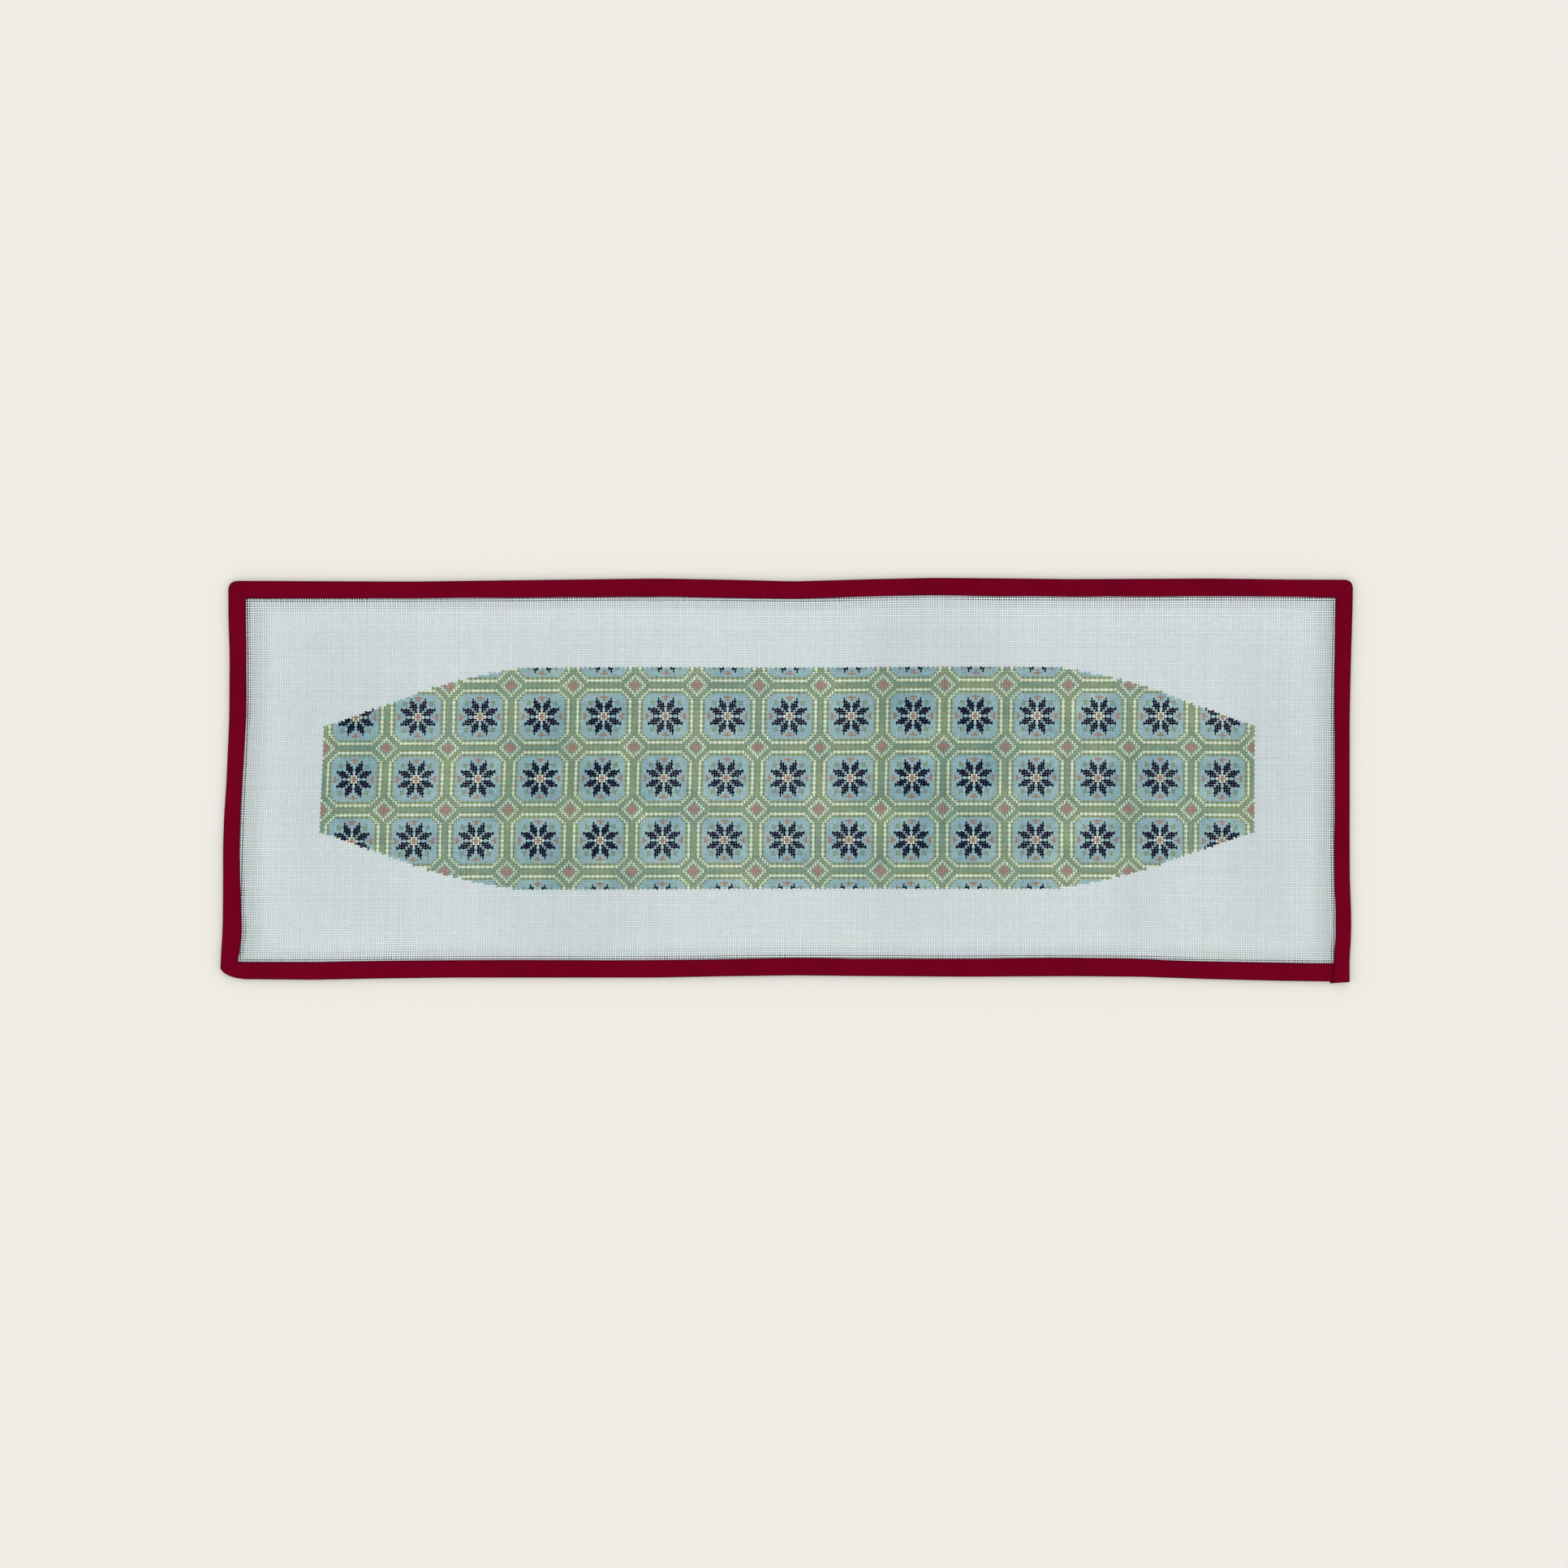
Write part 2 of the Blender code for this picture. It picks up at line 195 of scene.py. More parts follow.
weave_rng = np.random.default_rng(18)
warp = np.arange(WARPS)
weft = np.arange(WEFTS)
straight_x = FIRST_WARP_X + PITCH * (warp + SPACING_UNEVENNESS * weave_rng.normal(size=WARPS))
straight_y = FIRST_WEFT_Y + PITCH * (weft + SPACING_UNEVENNESS * weave_rng.normal(size=WEFTS))
share_x = (warp / (WARPS - 1))[:, None]
share_y = (weft / (WEFTS - 1))[None, :]
left_pull = outer_edge(LEFT_SIDE, straight_y, WEAVE_EASE)[None, :] - PANEL_LEFT
right_pull = outer_edge(RIGHT_SIDE, straight_y, WEAVE_EASE)[None, :] - PANEL_RIGHT
top_pull = outer_edge(TOP_SIDE, straight_x, WEAVE_EASE)[:, None] - PANEL_TOP
bottom_pull = outer_edge(BOTTOM_SIDE, straight_x, WEAVE_EASE)[:, None] - PANEL_BOTTOM
crossing_x = straight_x[:, None] + left_pull * (1 - share_x) + right_pull * share_x
crossing_y = straight_y[None, :] + WEFT_FOLLOWS_EDGE * (top_pull * share_y + bottom_pull * (1 - share_y))
crossing_x = crossing_x + WANDER * soft_noise(weave_rng, (WARPS, WEFTS), WARP_WANDER_GRAIN)
crossing_y = crossing_y + WANDER * soft_noise(weave_rng, (WARPS, WEFTS), WEFT_WANDER_GRAIN)
crossing_z = lying_height(crossing_x, crossing_y) + CANVAS_LIFT
from_left = crossing_x - inner_edge(LEFT_SIDE, crossing_y)
from_right = inner_edge(RIGHT_SIDE, crossing_y) - crossing_x
from_bottom = crossing_y - inner_edge(BOTTOM_SIDE, crossing_x)
from_top = inner_edge(TOP_SIDE, crossing_x) - crossing_y
pressed_flat = (
    smooth_step(from_left / PRESSED_FROM_UPRIGHT) * smooth_step(from_right / PRESSED_FROM_UPRIGHT)
    * smooth_step(from_bottom / PRESSED_FROM_LEVEL) * smooth_step(from_top / PRESSED_FROM_LEVEL))
from_upright = np.clip(np.minimum(from_left, from_right), 0, None)
from_level = np.clip(np.minimum(from_bottom, from_top), 0, None)
beside_tape = np.maximum(
    np.exp(-from_upright / BESIDE_UPRIGHT_TAPE), LEVEL_TAPE_SHARE * np.exp(-from_level / BESIDE_LEVEL_TAPE))
thread_width = WIDTH_AT_TAPE + (WIDTH_PRESSED_FLAT - WIDTH_AT_TAPE) * pressed_flat
thread_width = thread_width - NARROWER_BESIDE_TAPE * beside_tape
# The depth of the painted shade between the threads: deeper where the canvas stands loose, and more so right
# beside the tape.
painted_shade_depth = PAINTED_SHADE_AT_TAPE + (PAINTED_SHADE_PRESSED - PAINTED_SHADE_AT_TAPE) * pressed_flat
painted_shade_depth = painted_shade_depth + PAINTED_SHADE_BESIDE_TAPE * beside_tape
warp_on_top = (warp[:, None] + weft[None, :]) % 2 == 0

# One quarter of the painted repeat, from the middle of an eight-sided field outwards and upwards.
# It is mirrored to a repeat of 26 threads: a plain trellis of octagons and small squares round the old
# eight-pointed star. A letter stands for a paint: blue, navy, pink, white, cream, sage or olive.
QUARTER_REPEAT = [
    "ppwbbbbppbocos",
    "pwnnnnbbpbocos",
    "wnbnnnnbbbocos",
    "bnnbnnnnbbocos",
    "bnnnbbbbbbocos",
    "bnnnbssbbbocos",
    "bbnnbsobbbocos",
    "pbbnbbbbbbocos",
    "ppbbbbbbbocoso",
    "bbbbbbbbocosoc",
    "oooooooocosocs",
    "ccccccccosocsp",
    "oooooooosocspp",
    "ssssssssocsppp",
]
PAINTS = {
    "b": (0.310, 0.495, 0.535),
    "n": (0.001, 0.006, 0.026),
    "p": (0.350, 0.225, 0.180),
    "w": (0.690, 0.770, 0.650),
    "c": (0.675, 0.790, 0.635),
    "s": (0.215, 0.355, 0.285),
    "o": (0.222, 0.300, 0.155),
}
BARE_CANVAS = (0.718, 0.791, 0.810)
# The thread's back: a ghost of the paint, mixed half with the bare canvas and darkened by this painted shade.
BACK_PAINTED_SHADE = 0.78
# The painted shade at the foot of a thread's slopes: its strength, and the darkest the colour may go there.
CREVICE_PAINTED_SHADE = 0.98
DARKEST_PAINTED_SHADE = 0.02

# How uneven the colours are: from dab to dab, in soft washes over some threads, and on the sized canvas.
# A wash turns the greens and the blues, and a tint the bare canvas, by its share of red, green and blue.
DAB_UNEVENNESS = 0.07
WASH_UNEVENNESS = 0.08
BARE_UNEVENNESS = 0.02
WASH_GRAIN = (9, 9)
GREEN_WASH = np.array([0.14, 0.02, -0.12])
BLUE_WASH = np.array([0.10, 0.03, -0.03])
TINT_GRAIN = (22, 14)
BARE_TINT = np.array([-0.006, 0.012, -0.012])
DARKEST_COLOUR = 0.002
LIGHTEST_COLOUR = 0.98

# The painted band's outline, counted in threads from its middle
BAND_CENTRE = (231, 79)
BAND_HALF_LENGTH = 195
BandEdge = namedtuple("BandEdge", "from_middle half_height")
BAND_EDGE = [
    BandEdge(0, 46.7), BandEdge(112, 46.7), BandEdge(130, 43.3), BandEdge(150, 38.3),
    BandEdge(170, 30.9), BandEdge(195, 22.2),
]


def paint_crossings():
    """Colour of every crossing, and how much paint is on it.

    A crossing's place in the repeat is its distance from the nearest middle of the repeat, both ways;
    the letter there names its paint. Outside the band's outline the canvas stays bare.
    """
    quarter = len(QUARTER_REPEAT) - 1
    repeat = 2 * quarter
    from_middle = np.abs(warp - BAND_CENTRE[0])[:, None]
    from_axis = np.abs(weft - BAND_CENTRE[1])[None, :]
    column = quarter - np.abs(quarter - from_middle % repeat)
    row = quarter - np.abs(quarter - from_axis % repeat)
    letters = np.array([list(line) for line in QUARTER_REPEAT])[row, column]
    half_height = np.interp(
        from_middle, [edge.from_middle for edge in BAND_EDGE], [edge.half_height for edge in BAND_EDGE])
    painted = (from_axis <= half_height) & (from_middle <= BAND_HALF_LENGTH)
    rng = np.random.default_rng(5)
    size = (WARPS, WEFTS)
    colour = np.empty(size + (3,))
    colour[:] = BARE_CANVAS
    for letter, paint in PAINTS.items():
        colour[painted & (letters == letter)] = paint
    wash = soft_noise(rng, size, WASH_GRAIN)[..., None]
    dab = rng.normal(size=size)[..., None]
    greens = (painted & np.isin(letters, ["s", "o"]))[..., None]
    blues = (painted & (letters == "b"))[..., None]
    paint_unevenness = DAB_UNEVENNESS * dab + WASH_UNEVENNESS * wash
    colour = colour * (1 + np.where(painted[..., None], paint_unevenness, BARE_UNEVENNESS * dab))
    colour = colour * np.where(greens, 1 + wash * GREEN_WASH, 1)
    colour = colour * np.where(blues, 1 + wash * BLUE_WASH, 1)
    tint = soft_noise(rng, size, TINT_GRAIN)[..., None]
    colour = colour * np.where(painted[..., None], 1, 1 + tint * BARE_TINT)
    # Painted light: crossings are lightened towards the tape, where the painted shade between the threads is
    # deeper.
    colour = colour * (1 + PAINTED_LIGHT_AT_TAPE * (1 - pressed_flat))[..., None]
    return np.clip(colour, DARKEST_COLOUR, LIGHTEST_COLOUR), painted.astype(float)


crossing_colour, crossing_paint = paint_crossings()


def thread_run(x, y, z, along_x, width):
    """Points of a set of threads, three round each crossing: two edges below and a ridge above.

    The thread's own direction and the upward one give its side; the first and last ridges are drawn
    back, so that a thread's cut end slants.
    """
    sideways = np.array([0.0, -1.0]) if along_x else np.array([1.0, 0.0])
    points = np.empty(x.shape + (3, 3))
    for corner, (side, rise) in enumerate([(-0.5, -0.5), (0.5, -0.5), (0.0, 0.5)]):
        points[..., corner, 0] = x + side * sideways[0] * width
        points[..., corner, 1] = y + side * sideways[1] * width
        points[..., corner, 2] = z + rise * THREAD_THICKNESS
    run = 0 if along_x else 1
    points[:, 0, 2, run] += END_SLANT
    points[:, -1, 2, run] -= END_SLANT
    return points


def thread_faces(threads, crossings):
    """Faces of a set of threads: the flat undersides, then the two slopes, then the cut ends."""
    thread, step = np.meshgrid(np.arange(threads), np.arange(crossings - 1), indexing="ij")
    ring = ((thread * crossings + step) * 3)[..., None]
    walls = []
    for corner in range(3):
        following = (corner + 1) % 3
        walls.append((ring + [corner, corner + 3, following + 3, following]).reshape(-1, 4))
    first = np.arange(threads)[:, None] * crossings * 3
    last = first + (crossings - 1) * 3
    return walls, np.concatenate([first + [0, 1, 2], last + [0, 2, 1]])


def fill_mesh(mesh, points, quads, triangles):
    """Puts points, four-sided faces and then three-sided faces into a mesh, all smooth."""
    corners = np.concatenate([quads.reshape(-1), triangles.reshape(-1)]).astype(np.int32)
    sizes = np.concatenate([np.full(len(quads), 4), np.full(len(triangles), 3)])
    starts = np.concatenate([[0], np.cumsum(sizes)[:-1]]).astype(np.int32)
    mesh.vertices.add(len(points))
    mesh.vertices.foreach_set("co", ((points - CENTRING) * MM).astype(np.float32).reshape(-1))
    mesh.loops.add(len(corners))
    mesh.loops.foreach_set("vertex_index", corners)
    mesh.polygons.add(len(sizes))
    mesh.polygons.foreach_set("loop_start", starts)
    mesh.polygons.foreach_set("use_smooth", np.ones(len(sizes), dtype=bool))
    mesh.update(calc_edges=True)
    mesh.validate()
    return corners


def mark_flat_back(mesh):
    """Marks the two long edges of every thread's flat back as sharp, so that only its face looks round."""
    ends = np.empty(len(mesh.edges) * 2, dtype=np.int32)
    mesh.edges.foreach_get("vertices", ends)
    corner = ends.reshape(-1, 2) % 3
    sharp = (corner[:, 0] == corner[:, 1]) & (corner[:, 0] != 2)
    mesh.attributes.new("sharp_edge", "BOOLEAN", "EDGE").data.foreach_set("value", sharp)


def add_threads(name, x, y, z, width, painted_shade, along_x, on_top, colour, paint, material):
    """One piece of full-length threads, woven up and down by the crimp.

    Each float over a crossing has that crossing's paint, and on the back a pale ghost of it, darkened by a
    painted shade. The corners at the foot of its slopes hold how deep the painted shade between the threads
    is there.
    """
    rng = np.random.default_rng(len(name) + len(x))
    thickness = 1 + THREAD_UNEVENNESS * rng.normal(size=(len(x), 1))
    slubs = 1 + SLUB_UNEVENNESS * soft_noise(rng, x.shape, SLUB_GRAIN)
    crimped = z + np.where(on_top, CRIMP, -CRIMP)
    points = thread_run(x, y, crimped, along_x, width * thickness * slubs)
    walls, ends = thread_faces(*x.shape)
    mesh = bpy.data.meshes.new(name)
    flat_points = points.reshape(-1, 3)
    corners = fill_mesh(mesh, flat_points, np.concatenate(walls), ends)

    rows = np.arange(len(x))[:, None]
    steps = np.arange(x.shape[1] - 1)[None, :]
    float_at = np.where(on_top[:, :-1], steps, steps + 1)
    tone = 1 + TONE_UNEVENNESS * rng.normal(size=(len(x), 1, 1))
    face_colour = (colour[rows, float_at] * tone).reshape(-1, 3)
    face_paint = paint[rows, float_at].reshape(-1)
    face_count = len(face_paint)
    wall_corners = face_count * 3 * 4
    values = np.ones((len(corners), 4), dtype=np.float32)
    wall_values = values[:wall_corners].reshape(3, face_count, 4, 4)
    wall_values[..., :3] = face_colour[None, :, None, :]
    # Painted shade: the back is darkened, on a half-and-half mix of the paint and the bare canvas.
    wall_values[0, ..., :3] = BACK_PAINTED_SHADE * (face_colour[:, None, :] + BARE_CANVAS) / 2
    wall_values[..., 3] = face_paint[None, :, None]
    end_colour = colour[:, [0, -1]].transpose(1, 0, 2).reshape(-1, 1, 3)
    values[wall_corners:].reshape(-1, 3, 4)[..., :3] = end_colour
    values[wall_corners:, 3] = 0
    layer = mesh.color_attributes.new("paint", "FLOAT_COLOR", "CORNER")
    layer.data.foreach_set("color", values.reshape(-1))
    # The painted shade's weight: 0 on the ridge, the back and the cut ends, and at the foot of each slope the
    # painted shade's depth there.
    shade_from_ridge = np.zeros(len(corners), dtype=np.float32)
    slopes = shade_from_ridge[:wall_corners].reshape(3, face_count, 4)
    slopes[1, :, :2] = painted_shade[rows, float_at].reshape(-1, 1)
    slopes[2, :, 2:] = painted_shade[rows, float_at].reshape(-1, 1)
    mesh.attributes.new("shade_from_ridge", "FLOAT", "CORNER").data.foreach_set("value", shade_from_ridge)

    low = flat_points.min(axis=0)
    high = flat_points.max(axis=0)
    flat_map = ((flat_points - low) / (high - low))[corners, :2].astype(np.float32)
    mesh.uv_layers.new(name="OFBake").data.foreach_set("uv", flat_map.reshape(-1))
    mesh.materials.append(material)
    mark_flat_back(mesh)
    piece = bpy.data.objects.new(name, mesh)
    bpy.context.scene.collection.objects.link(piece)
    return piece


class Tone:
    """One socket in a material. Arithmetic on it adds Math nodes, and node() adds any other node."""

    def __init__(self, tree, socket):
        self.tree = tree
        self.socket = socket

    @classmethod
    def node(cls, tree, kind, settings, sockets, output=0):
        """Adds a node of a type: its settings first, then a value or a tone for each socket."""
        node = tree.nodes.new(kind)
        for name, value in settings.items():
            setattr(node, name, value)
        for name, value in sockets.items():
            if isinstance(value, Tone):
                tree.links.new(value.socket, node.inputs[name])
            else:
                node.inputs[name].default_value = value
        return cls(tree, node.outputs[output])

    def math(self, operation, first, second):
        return Tone.node(self.tree, "ShaderNodeMath", {"operation": operation}, {0: first, 1: second})

    def __add__(self, other):
        return self.math("ADD", self, other)

    __radd__ = __add__

    def __mul__(self, other):
        return self.math("MULTIPLY", self, other)

    __rmul__ = __mul__

    def __sub__(self, other):
        return self.math("SUBTRACT", self, other)

    def __rsub__(self, other):
        return self.math("SUBTRACT", other, self)

    def sine(self):
        return self.math("SINE", self, 0.0)

    def at_least(self, least):
        return self.math("MAXIMUM", self, least)

    def tint(self, brightness):
        """This colour with each channel times a brightness, through Vector Math."""
        return Tone.node(
            self.tree, "ShaderNodeVectorMath", {"operation": "SCALE"}, {0: self, "Scale": brightness})


def new_material(name, roughness, specular):
    """A material with its surface shader, and the tree that its nodes go into."""
    material = bpy.data.materials.new(name)
    material.use_nodes = True
    tree = material.node_tree
    shader = tree.nodes["Principled BSDF"]
    shader.inputs["Roughness"].default_value = roughness
    shader.inputs["Specular IOR Level"].default_value = specular
    return material, tree, shader


def canvas_material():
    """Sized cotton thread: the crossing's own paint, fine fibres, and a painted shade in its colour that
    deepens with the cube of the way down its sides, where the threads close in."""
    material, tree, shader = new_material("painted_canvas_thread", 0.8, 0.03)
    place = Tone.node(tree, "ShaderNodeTexCoord", {}, {}, "Object")
    paint = Tone.node(tree, "ShaderNodeAttribute", {"attribute_name": "paint"}, {}, "Color")
    amount = Tone.node(tree, "ShaderNodeAttribute", {"attribute_name": "paint"}, {}, "Alpha")
    shade_from_ridge = Tone.node(tree, "ShaderNodeAttribute", {"attribute_name": "shade_from_ridge"}, {}, "Fac")
    fibre = Tone.node(
        tree, "ShaderNodeTexNoise", {}, {"Vector": place, "Scale": 2600.0, "Detail": 3.0, "Roughness": 0.6})
    brush = Tone.node(
        tree, "ShaderNodeTexNoise", {}, {"Vector": place, "Scale": 130.0, "Detail": 2.0})
    brightness = 0.92 + fibre * 0.16 + amount * (brush - 0.5) * 0.35
    # Painted shade: the colour darkens with the cube of the weight, down the thread's sides towards the
    # crevices.
    painted_shade = (1 - shade_from_ridge * shade_from_ridge * shade_from_ridge * CREVICE_PAINTED_SHADE).at_least(DARKEST_PAINTED_SHADE)
    tree.links.new(paint.tint(brightness * painted_shade).socket, shader.inputs["Base Color"])
    roughness = 0.86 - amount * 0.16 + (fibre - 0.5) * 0.2
    tree.links.new(roughness.socket, shader.inputs["Roughness"])
    relief = Tone.node(
        tree, "ShaderNodeBump", {}, {"Height": fibre, "Strength": 0.35, "Distance": 0.00008})
    tree.links.new(relief.socket, shader.inputs["Normal"])
    return material


canvas_finish = canvas_material()
THREAD_SETS = 3
warp_cuts = np.linspace(0, WARPS, THREAD_SETS + 1).round().astype(int)
weft_cuts = np.linspace(0, WEFTS, THREAD_SETS + 1).round().astype(int)
canvas_pieces = []
for place, first, last in zip(("left", "middle", "right"), warp_cuts[:-1], warp_cuts[1:]):
    part = slice(first, last)
    piece = add_threads(
        f"canvas_warp_{place}", crossing_x[part], crossing_y[part], crossing_z[part], thread_width[part],
        painted_shade_depth[part], False, warp_on_top[part], crossing_colour[part], crossing_paint[part],
        canvas_finish)
    canvas_pieces.append(piece)
for place, first, last in zip(("lower", "middle", "upper"), weft_cuts[:-1], weft_cuts[1:]):
    part = slice(first, last)
    piece = add_threads(
        f"canvas_weft_{place}", crossing_x[:, part].T, crossing_y[:, part].T, crossing_z[:, part].T,
        thread_width[:, part].T, painted_shade_depth[:, part].T, True, ~warp_on_top[:, part].T,
        crossing_colour[:, part].transpose(1, 0, 2), crossing_paint[:, part].T, canvas_finish)
    canvas_pieces.append(piece)
for piece in canvas_pieces:
    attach(piece, "root")
    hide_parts("canvas")

# The binding: one long strip of crimson cotton cut on the bias, its raw edges turned in and pressed, then
# folded over the canvas's edge, a little wider on the back, so that one row of stitches holds both legs.
# Three corners are folded into mitres, and the strip's end is turned in and lapped over its start.
TAPE_CLOTH = 0.28
TAPE_NOMINAL_WIDTH = 10.36
STATION_STEP = 4.5
HIDDEN_EDGE = 3.0
CORNER_FAN = 4.0
INNER_CORNER_REACH = 0.8
MITRE_TURNS = np.array([0, 0.12, 0.24, 0.35, 0.43, 0.48, 0.5, 0.515, 0.55, 0.62, 0.71, 0.81, 0.9, 1])
MITRE_FOLD = 6
MITRE_RISE = 0.22
MITRE_FADE = 11.0
MITRE_DIP = 0.12
MITRE_DIP_REACH = 1.5
LIP_SWAY = 0.12
SWAY_STEP = 16.0
PRESS_UNEVENNESS = 0.10
PRESS_STEP = 23.0
LONGEST_TAPE = 2000
LAP_RISE = 0.5
LAP_LIP_LIFT = 0.85
LAP_EASE = 6.0
LAP_DROP = 0.8
LAP_SLANT = 0.6
LAP_MIDDLE_HEIGHT = 2.05
LAP_END_ROUND = 1.6
LAP_END_TURNS = np.radians([18, 38, 56, 72, 84])
START_INSIDE_LAP = 2.0
START_EASE = 9.0
START_LIFT = 0.72
START_SQUEEZE = 0.23

# How far each mitred corner is rounded along its two sides, how blunt it is, and how far its fold leans to
# the upright side, where 1 is the diagonal
Corner = namedtuple("Corner", "reach_x reach_y blunt lean")
TOP_LEFT = Corner(6.0, 5.2, 0.05, 1.0)
TOP_RIGHT = Corner(5.0, 5.2, 0.05, 1.0)
BOTTOM_LEFT = Corner(14.0, 6.3, 0.36, 2.2)

# The strip's section from its lower turned-in edge, round the fold, to its upper one: how far in from the
# outer edge, how high, how much it rises with the upper leg, and how much it lifts with the upper lip
Cloth = namedtuple("Cloth", "inwards height rises lifts")
TAPE_SECTION = [
    Cloth(3.2, 0.62, 0, 0), Cloth(6.0, 0.60, 0, 0), Cloth(9.0, 0.58, 0, 0), Cloth(11.8, 0.56, 0, 0),
    Cloth(12.2, 0.47, 0, 0), Cloth(12.32, 0.35, 0, 0), Cloth(12.2, 0.22, 0, 0), Cloth(11.8, 0.15, 0, 0),
    Cloth(9.2, 0.16, 0, 0), Cloth(8.8, 0.24, 0, 0), Cloth(8.5, 0.16, 0, 0), Cloth(5.6, 0.14, 0, 0),
    Cloth(3.0, 0.14, 0, 0), Cloth(1.9, 0.16, 0, 0), Cloth(1.1, 0.32, 0, 0), Cloth(0.52, 0.70, 0.1, 0),
    Cloth(0.22, 1.17, 0.25, 0), Cloth(0.14, 1.72, 0.5, 0), Cloth(0.24, 2.27, 0.75, 0),
    Cloth(0.60, 2.80, 0.9, 0), Cloth(1.2, 3.17, 1, 0), Cloth(2.0, 3.37, 1, 0), Cloth(3.3, 3.44, 1, 0),
    Cloth(5.0, 3.40, 1, 0.1), Cloth(6.8, 3.23, 1, 0.4), Cloth(7.9, 3.04, 1, 0.7), Cloth(8.5, 2.88, 1, 0.9),
    Cloth(8.8, 2.80, 1, 1), Cloth(9.1, 2.85, 1, 1), Cloth(9.7, 2.83, 1, 1), Cloth(10.08, 2.73, 1, 1),
    Cloth(10.22, 2.59, 1, 1), Cloth(10.1, 2.44, 1, 1), Cloth(9.7, 2.37, 1, 1), Cloth(8.9, 2.37, 1, 1),
    Cloth(7.9, 2.52, 1, 0.9), Cloth(5.6, 2.86, 1, 0.5), Cloth(3.2, 3.00, 1, 0.2),
]
LOWER_SEAM = 9
UPPER_SEAM = 27


def straight_run(side, start, end):
    """Outer and inner edge of the tape along a side, at even steps from start to end."""
    along = np.linspace(start, end, int(abs(end - start) / STATION_STEP) + 2)
    edges = outer_edge(side, along), inner_edge(side, along)
    if side in (TOP_SIDE, BOTTOM_SIDE):
        return [np.column_stack([along, edge]) for edge in edges]
    return [np.column_stack([edge, along]) for edge in edges]


def corner_run(upright_side, level_side, shape):
    """Outer and inner edge round a mitred corner, from its upright side to its level one.

    Each is a quadratic curve from a reach along the one side to a reach along the other. Its handle is
    the corner, drawn towards the middle of the chord by the bluntness.
    """
    into = np.array([1 if upright_side is LEFT_SIDE else -1, 1 if level_side is BOTTOM_SIDE else -1])
    near_x = (PANEL_LEFT if upright_side is LEFT_SIDE else PANEL_RIGHT) + HIDDEN_EDGE * into[0]
    near_y = (PANEL_BOTTOM if level_side is BOTTOM_SIDE else PANEL_TOP) + HIDDEN_EDGE * into[1]
    edges = []
    for edge, reach_x, reach_y, blunt, lean in (
            (outer_edge, shape.reach_x, shape.reach_y, shape.blunt, shape.lean),
            (inner_edge, INNER_CORNER_REACH, INNER_CORNER_REACH, 0, 1)):
        turn = MITRE_TURNS[:, None] ** lean
        corner = np.array([edge(upright_side, near_y), edge(level_side, near_x)])
        start = corner + [0, reach_y * into[1]]
        end = corner + [reach_x * into[0], 0]
        handle = (1 - blunt) * corner + blunt * (start + end) / 2
        edges.append((1 - turn) ** 2 * start + 2 * turn * (1 - turn) * handle + turn ** 2 * end)
    return edges


lap_x = inner_edge(RIGHT_SIDE, PANEL_BOTTOM + HIDDEN_EDGE)
lap_top = inner_edge(BOTTOM_SIDE, PANEL_RIGHT - HIDDEN_EDGE)
lap_end = outer_edge(BOTTOM_SIDE, PANEL_RIGHT - HIDDEN_EDGE) - LAP_DROP
left_x = inner_edge(LEFT_SIDE, PANEL_BOTTOM) + CORNER_FAN
top_left_x = inner_edge(LEFT_SIDE, PANEL_TOP) + CORNER_FAN
top_right_x = inner_edge(RIGHT_SIDE, PANEL_TOP) - CORNER_FAN
low_y = inner_edge(BOTTOM_SIDE, PANEL_LEFT) + CORNER_FAN
left_top_y = inner_edge(TOP_SIDE, PANEL_LEFT) - CORNER_FAN
right_top_y = inner_edge(TOP_SIDE, PANEL_RIGHT) - CORNER_FAN
runs = [
    straight_run(BOTTOM_SIDE, lap_x + START_INSIDE_LAP, left_x),
    [edge[::-1] for edge in corner_run(LEFT_SIDE, BOTTOM_SIDE, BOTTOM_LEFT)],
    straight_run(LEFT_SIDE, low_y, left_top_y),
    corner_run(LEFT_SIDE, TOP_SIDE, TOP_LEFT),
    straight_run(TOP_SIDE, top_left_x, top_right_x),
    [edge[::-1] for edge in corner_run(RIGHT_SIDE, TOP_SIDE, TOP_RIGHT)],
    straight_run(RIGHT_SIDE, right_top_y, lap_top + LAP_EASE),
    straight_run(RIGHT_SIDE, lap_top + LAP_EASE - 1, lap_end + LAP_END_ROUND),
]
tape_outer = np.concatenate([run[0] for run in runs])
tape_inner = np.concatenate([run[1] for run in runs])
run_starts = np.cumsum([0] + [len(run[0]) for run in runs])
folds = [run_starts[1] + len(MITRE_TURNS) - 1 - MITRE_FOLD, run_starts[3] + MITRE_FOLD,
         run_starts[5] + len(MITRE_TURNS) - 1 - MITRE_FOLD]
end_scale = np.concatenate([np.ones(len(tape_outer)), np.cos(LAP_END_TURNS)])
end_steps = LAP_END_ROUND * np.sin(LAP_END_TURNS)[:, None] * [0, -1]
tape_outer = np.concatenate([tape_outer, tape_outer[-1] + end_steps])
tape_inner = np.concatenate([tape_inner, tape_inner[-1] + end_steps])
middle_line = (tape_outer + tape_inner) / 2
tape_length = np.concatenate([[0], np.cumsum(np.linalg.norm(np.diff(middle_line, axis=0), axis=1))])
stations = len(tape_length)
on_right_side = np.arange(stations) >= run_starts[6]
lap_share = np.where(on_right_side, smooth_step((lap_top + LAP_EASE - middle_line[:, 1]) / LAP_EASE), 0)
slant_share = np.where(on_right_side, smooth_step((lap_top - middle_line[:, 1]) / TAPE_NOMINAL_WIDTH), 0)
tape_outer[:, 1] += LAP_SLANT * slant_share
start_share = 1 - smooth_step(tape_length / START_EASE)

